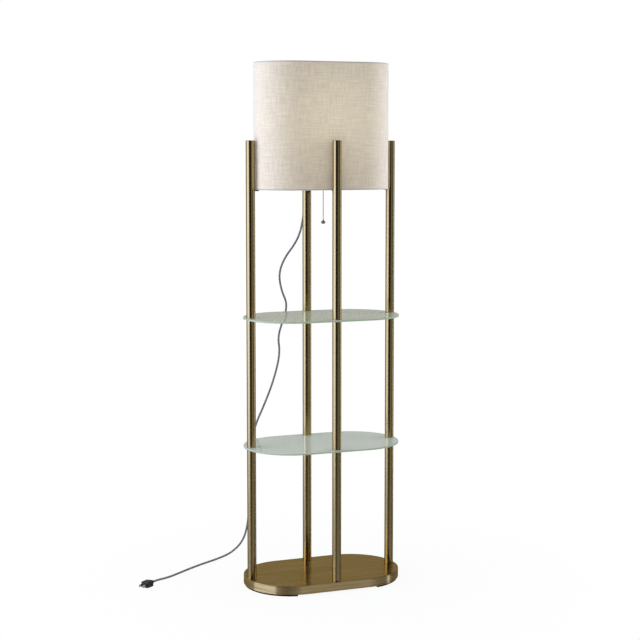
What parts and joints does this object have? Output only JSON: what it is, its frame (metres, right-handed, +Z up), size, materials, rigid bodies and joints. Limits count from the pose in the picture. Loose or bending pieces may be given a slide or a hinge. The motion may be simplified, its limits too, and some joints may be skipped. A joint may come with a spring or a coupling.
{
  "type": "shelf floor lamp",
  "caption": "Shelf floor lamp: brass tube posts on a weighted round-ended base carry frosted glass shelves and a linen shade over a pull-chain socket.",
  "frame": {"origin": "on the floor, under the middle of the base", "axes": "+Z up; X along the base's long axis; the front post stands at -Y"},
  "size_m": [0.7427, 0.4733, 1.476],
  "materials": {
    "post_brass": "antique brass, brushed along the tube and lacquered",
    "base_brass": "antique brass sheet, brushed and lacquered",
    "ballast_iron": "black painted casting",
    "zinc_steel": "zinc plated",
    "foot_foam": "black closed-cell foam rubber",
    "shelf_glass": "tempered, frosted, with clear ground edges",
    "clear_washer": "clear soft plastic",
    "carrier_bronze": "dark bronze satin paint",
    "shade_linen": "open linen weave over a translucent backing",
    "shade_wire": "white dip-coated wire",
    "socket_brass": "satin",
    "socket_fibre": "grey fibre paper",
    "socket_moulding": "black phenolic",
    "contact_brass": "bare",
    "bulb_glass": "white, frosted inside",
    "bulb_metal": "bright",
    "chain_metal": "antique, polished by use",
    "cord_braid": "dark grey braided textile sleeve",
    "lead_jacket": "black",
    "bush_nylon": "black nylon",
    "plug_black": "black moulded vinyl",
    "plug_metal": "nickel-free brass blades"
  },
  "bodies": {
    "frame": {"base_bolts": "zinc_steel", "base_bottom_plate": "zinc_steel", "base_casting": "ballast_iron", "base_cover": "base_brass", "base_plate_screws": "zinc_steel", "base_washers": "zinc_steel", "bulb_cap": "bulb_metal", "bulb_globe": "bulb_glass", "carrier_arm_front": "carrier_bronze", "carrier_arm_left": "carrier_bronze", "carrier_arm_rear": "carrier_bronze", "carrier_arm_right": "carrier_bronze", "carrier_hub": "carrier_bronze", "center_contact": "contact_brass", "chain_guide": "chain_metal", "cord": "cord_braid", "foot_pad_left": "foot_foam", "foot_pad_right": "foot_foam", "hub_lock_nut": "zinc_steel", "hub_rivets": "zinc_steel", "inner_lead": "lead_jacket", "lead_bush": "bush_nylon", "lead_clips": "bush_nylon", "lower_shelf": "shelf_glass", "lower_tube_front": "post_brass", "lower_tube_left": "post_brass", "lower_tube_rear": "post_brass", "lower_tube_right": "post_brass", "middle_tube_front": "post_brass", "middle_tube_left": "post_brass", "middle_tube_rear": "post_brass", "middle_tube_right": "post_brass", "plug_blades": "plug_metal", "plug_body": "plug_black", "post_caps": "post_brass", "screw_shell": "bulb_metal", "shelf_gaskets": "clear_washer", "shelf_studs": "zinc_steel", "socket_bush": "bush_nylon", "socket_cap": "socket_brass", "socket_interior": "socket_moulding", "socket_liner": "socket_fibre", "socket_nipple": "zinc_steel", "socket_shell": "socket_brass", "socket_spacer": "zinc_steel", "strain_relief": "bush_nylon", "tube_inserts": "zinc_steel", "upper_shelf": "shelf_glass", "upper_tube_front": "post_brass", "upper_tube_left": "post_brass", "upper_tube_rear": "post_brass", "upper_tube_right": "post_brass"},
    "shade": {"shade_wall": "shade_linen", "shade_bottom_ring": "shade_wire", "shade_top_ring": "shade_wire"},
    "stem": {"chain_stem": "chain_metal"},
    "coupling": {"chain_coupling": "chain_metal"},
    "chain": {"pull_chain": "chain_metal", "pull_knob": "chain_metal"}
  },
  "joints": [
    {"name": "shade_lift", "type": "slide", "parent": "frame", "child": "shade", "axis": [0, 0, 1], "range_m": [0, 0.17]},
    {"name": "chain_pull", "type": "slide", "parent": "frame", "child": "stem", "axis": [0, 0, -1], "range_m": [0, 0.008], "stiffness_N_per_m": 1000, "springref_m": -0.006},
    {"name": "chain_swing_front_back", "type": "hinge", "parent": "stem", "child": "coupling", "pos_m": [0.01502, 0.0255, 1.14896], "axis": [1, 0, 0], "range_deg": [-20, 20]},
    {"name": "chain_swing_side", "type": "hinge", "parent": "coupling", "child": "chain", "pos_m": [0.01502, 0.0255, 1.14436], "axis": [0, 1, 0], "range_deg": [-20, 20]}
  ]
}
